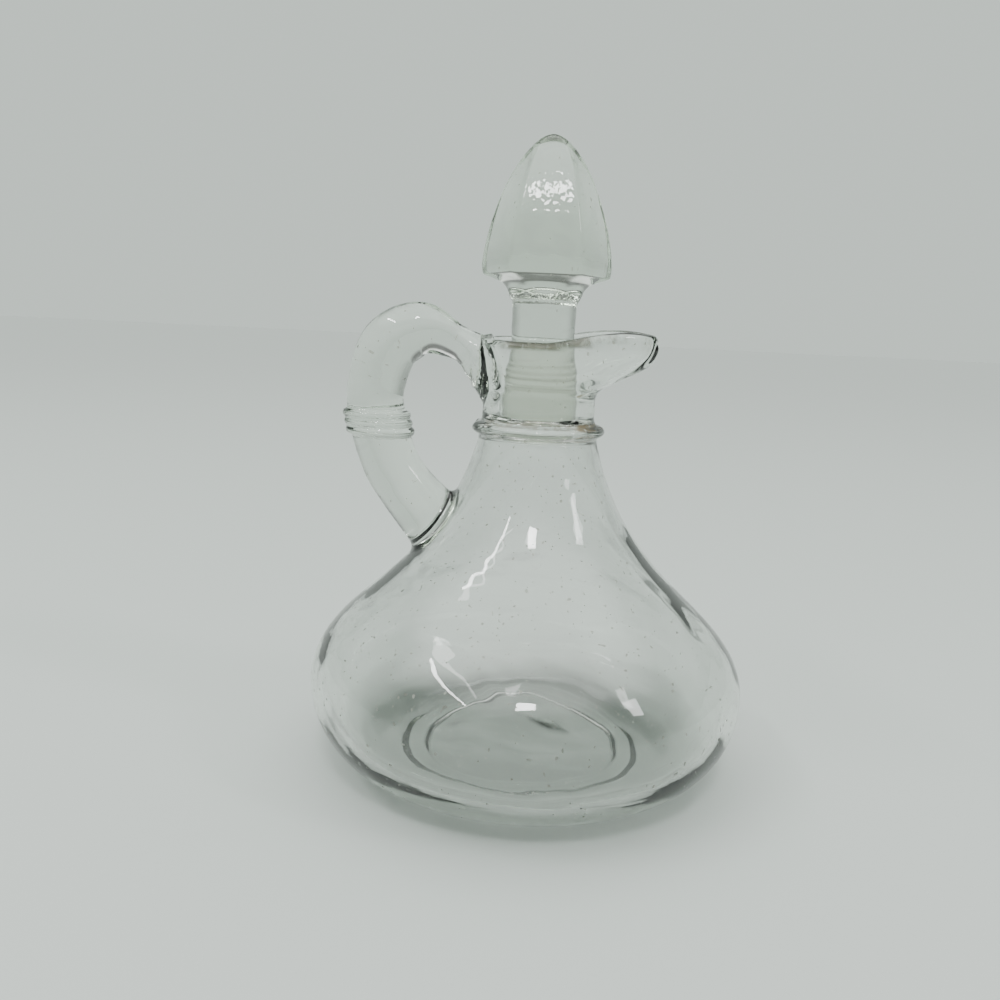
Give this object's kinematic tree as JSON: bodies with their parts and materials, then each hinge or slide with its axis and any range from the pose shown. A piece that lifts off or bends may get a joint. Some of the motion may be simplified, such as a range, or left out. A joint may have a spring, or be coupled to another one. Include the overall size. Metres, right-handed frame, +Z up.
{
  "type": "glass cruet",
  "caption": "Clear glass oil or vinegar cruet with a squat round bowl, beaded neck, pulled pouring lip, looped handle and faceted pointed stopper.",
  "frame": {"origin": "centre of the base, on the plane that the foot ring stands on", "axes": "+Z up along the neck axis, +X towards the pouring lip, -X towards the handle, the picture looks along +Y"},
  "size_m": [0.108, 0.108, 0.1535],
  "materials": {
    "clear_glass": "polished, slightly wavy, faint grey-green in thick parts",
    "stopper_glass": "polished, slightly wavy, lightly frosted on the front facet"
  },
  "bodies": {
    "root": {"cruet_body": "clear_glass", "stopper": "stopper_glass"}
  },
  "joints": []
}
